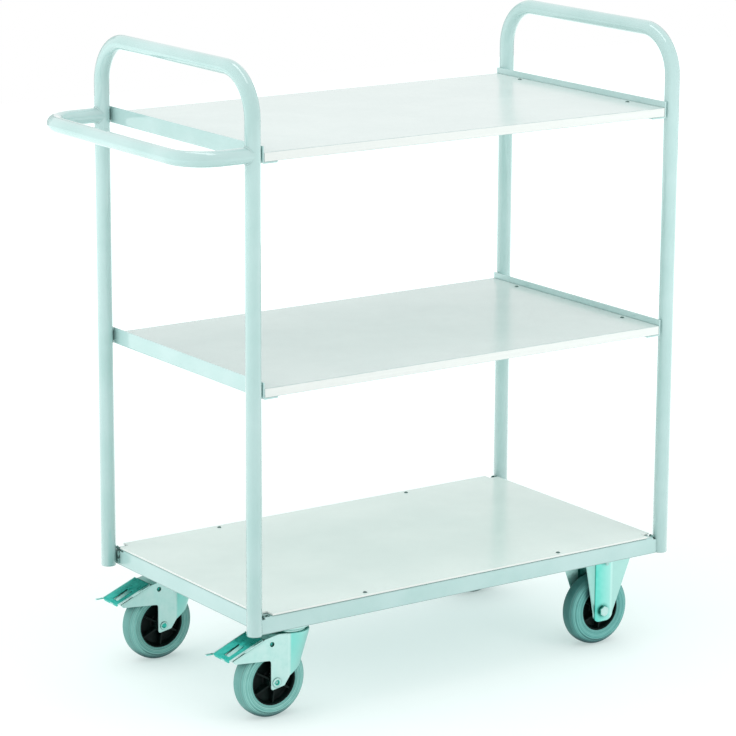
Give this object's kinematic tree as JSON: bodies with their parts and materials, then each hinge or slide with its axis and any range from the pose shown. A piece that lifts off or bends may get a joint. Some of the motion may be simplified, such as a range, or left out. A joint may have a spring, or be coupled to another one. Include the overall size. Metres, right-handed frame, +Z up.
{
  "type": "shelf trolley",
  "caption": "Shelf trolley of bent round tube with laminated boards in angle rails, a push handle at one end, braked swivel casters below it and fixed casters at the other end.",
  "frame": {"origin": "on the floor, below the middle of the whole trolley", "axes": "+X along the trolley away from the push handle, +Y across it towards its back, +Z up"},
  "size_m": [1.037, 0.517, 1.149],
  "materials": {
    "mint_paint": "gloss powder coat",
    "white_laminate": "smooth white laminate",
    "bright_zinc": "bright zinc plate",
    "grey_rubber": "fine circumferential lines",
    "black_plastic": "satin"
  },
  "bodies": {
    "frame": {"back_left_kingpin": "bright_zinc", "back_left_top_plate": "bright_zinc", "back_right_axle_bolt": "bright_zinc", "back_right_axle_nut": "bright_zinc", "back_right_fork": "bright_zinc", "bottom_board": "white_laminate", "bottom_front_rail": "mint_paint", "bottom_left_rail": "mint_paint", "bottom_rear_rail": "mint_paint", "bottom_right_rail": "mint_paint", "caster_bolts": "bright_zinc", "caster_mount_plates": "mint_paint", "front_left_kingpin": "bright_zinc", "front_left_top_plate": "bright_zinc", "front_right_axle_bolt": "bright_zinc", "front_right_axle_nut": "bright_zinc", "front_right_fork": "bright_zinc", "left_end_hoop": "mint_paint", "middle_board": "white_laminate", "middle_left_rail": "mint_paint", "middle_right_rail": "mint_paint", "push_handle": "mint_paint", "right_end_hoop": "mint_paint", "top_board": "white_laminate", "top_left_rail": "mint_paint", "top_right_rail": "mint_paint"},
    "front_left_swivel": {"front_left_fork": "bright_zinc", "front_left_axle_rivet": "bright_zinc"},
    "front_left_pedal": {"front_left_brake_pedal": "bright_zinc", "front_left_brake_shoe": "black_plastic"},
    "front_left_wheel": {"front_left_tyre": "grey_rubber", "front_left_wheel_centre": "black_plastic"},
    "back_left_swivel": {"back_left_fork": "bright_zinc", "back_left_axle_rivet": "bright_zinc"},
    "back_left_pedal": {"back_left_brake_pedal": "bright_zinc", "back_left_brake_shoe": "black_plastic"},
    "back_left_wheel": {"back_left_tyre": "grey_rubber", "back_left_wheel_centre": "black_plastic"},
    "front_right_wheel": {"front_right_tyre": "grey_rubber", "front_right_wheel_centre": "black_plastic"},
    "back_right_wheel": {"back_right_tyre": "grey_rubber", "back_right_wheel_centre": "black_plastic"}
  },
  "joints": [
    {"name": "front_left_swivel_turn", "type": "hinge", "parent": "frame", "child": "front_left_swivel", "pos_m": [-0.2785, -0.188, 0.153], "axis": [0, 0, 1], "continuous": true},
    {"name": "front_left_pedal_lift", "type": "hinge", "parent": "front_left_swivel", "child": "front_left_pedal", "pos_m": [-0.328, -0.188, 0.138], "axis": [0, 1, 0], "range_deg": [0, 14]},
    {"name": "front_left_wheel_spin", "type": "hinge", "parent": "front_left_swivel", "child": "front_left_wheel", "pos_m": [-0.3185, -0.188, 0.0675], "axis": [0, 1, 0], "continuous": true},
    {"name": "back_left_swivel_turn", "type": "hinge", "parent": "frame", "child": "back_left_swivel", "pos_m": [-0.2785, 0.188, 0.153], "axis": [0, 0, 1], "continuous": true},
    {"name": "back_left_pedal_lift", "type": "hinge", "parent": "back_left_swivel", "child": "back_left_pedal", "pos_m": [-0.328, 0.188, 0.138], "axis": [0, 1, 0], "range_deg": [0, 14]},
    {"name": "back_left_wheel_spin", "type": "hinge", "parent": "back_left_swivel", "child": "back_left_wheel", "pos_m": [-0.3185, 0.188, 0.0675], "axis": [0, 1, 0], "continuous": true},
    {"name": "front_right_wheel_spin", "type": "hinge", "parent": "frame", "child": "front_right_wheel", "pos_m": [0.3995, -0.188, 0.0675], "axis": [0, 1, 0], "continuous": true},
    {"name": "back_right_wheel_spin", "type": "hinge", "parent": "frame", "child": "back_right_wheel", "pos_m": [0.3995, 0.188, 0.0675], "axis": [0, 1, 0], "continuous": true}
  ]
}
